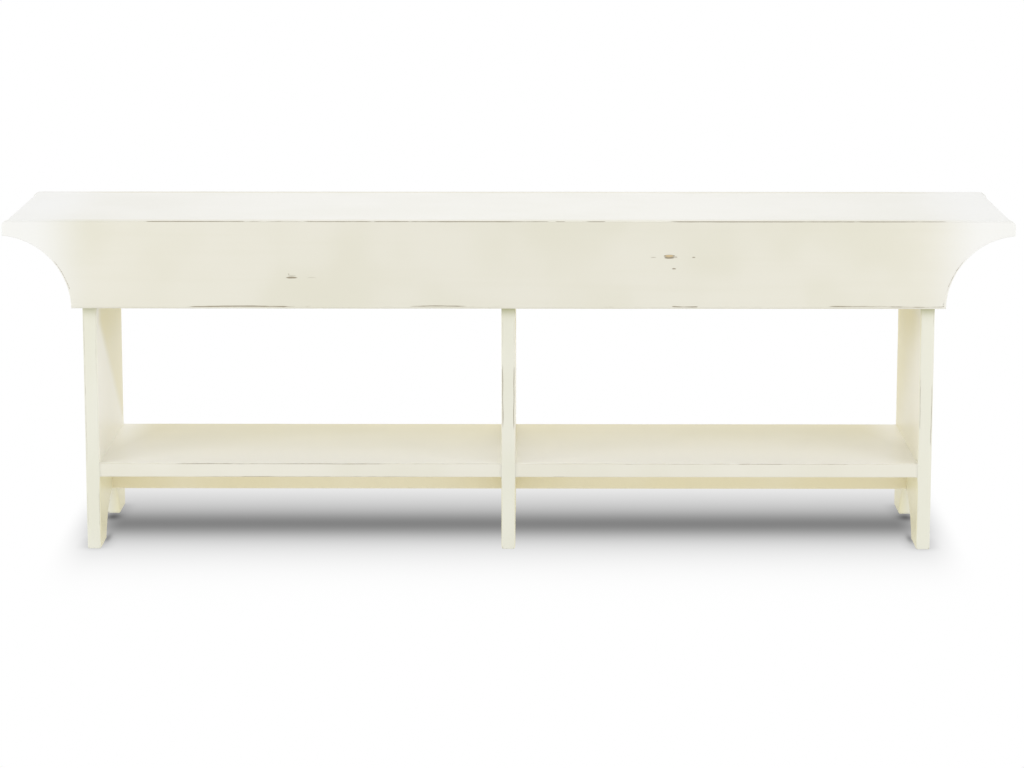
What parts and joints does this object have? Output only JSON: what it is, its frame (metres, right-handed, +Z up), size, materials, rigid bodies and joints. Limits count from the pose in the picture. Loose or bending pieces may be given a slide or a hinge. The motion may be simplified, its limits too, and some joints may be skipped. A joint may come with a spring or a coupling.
{
  "type": "bucket bench",
  "caption": "Low painted pine bench with a plank seat, deep aprons with coved ends, plank legs with arched feet, and a low shelf in each bay.",
  "frame": {"origin": "on the floor, at the centre of the footprint, under the middle of the seat", "axes": "+X along the bench to its right end, +Y from the front to the back, +Z up"},
  "size_m": [1.372, 0.324, 0.458],
  "materials": {
    "painted_pine": "brushed cream paint, rubbed through at the edges",
    "bare_pine": "sawn pine, unpainted",
    "nail_steel": "bright wire",
    "screw_steel": "zinc plated"
  },
  "bodies": {
    "root": {"seat_board": "painted_pine", "front_apron": "painted_pine", "rear_apron": "painted_pine", "left_end_panel": "painted_pine", "right_end_panel": "painted_pine", "centre_panel": "painted_pine", "left_shelf": "painted_pine", "right_shelf": "painted_pine", "left_stretcher": "painted_pine", "right_stretcher": "painted_pine", "left_seat_cleat": "bare_pine", "centre_seat_cleat": "bare_pine", "right_seat_cleat": "bare_pine", "front_apron_nails": "nail_steel", "rear_apron_nails": "nail_steel", "left_shelf_nails": "nail_steel", "right_shelf_nails": "nail_steel", "left_stretcher_nails": "nail_steel", "right_stretcher_nails": "nail_steel", "cleat_screws": "screw_steel", "seat_screws": "screw_steel", "stretcher_screws": "screw_steel"}
  },
  "joints": []
}
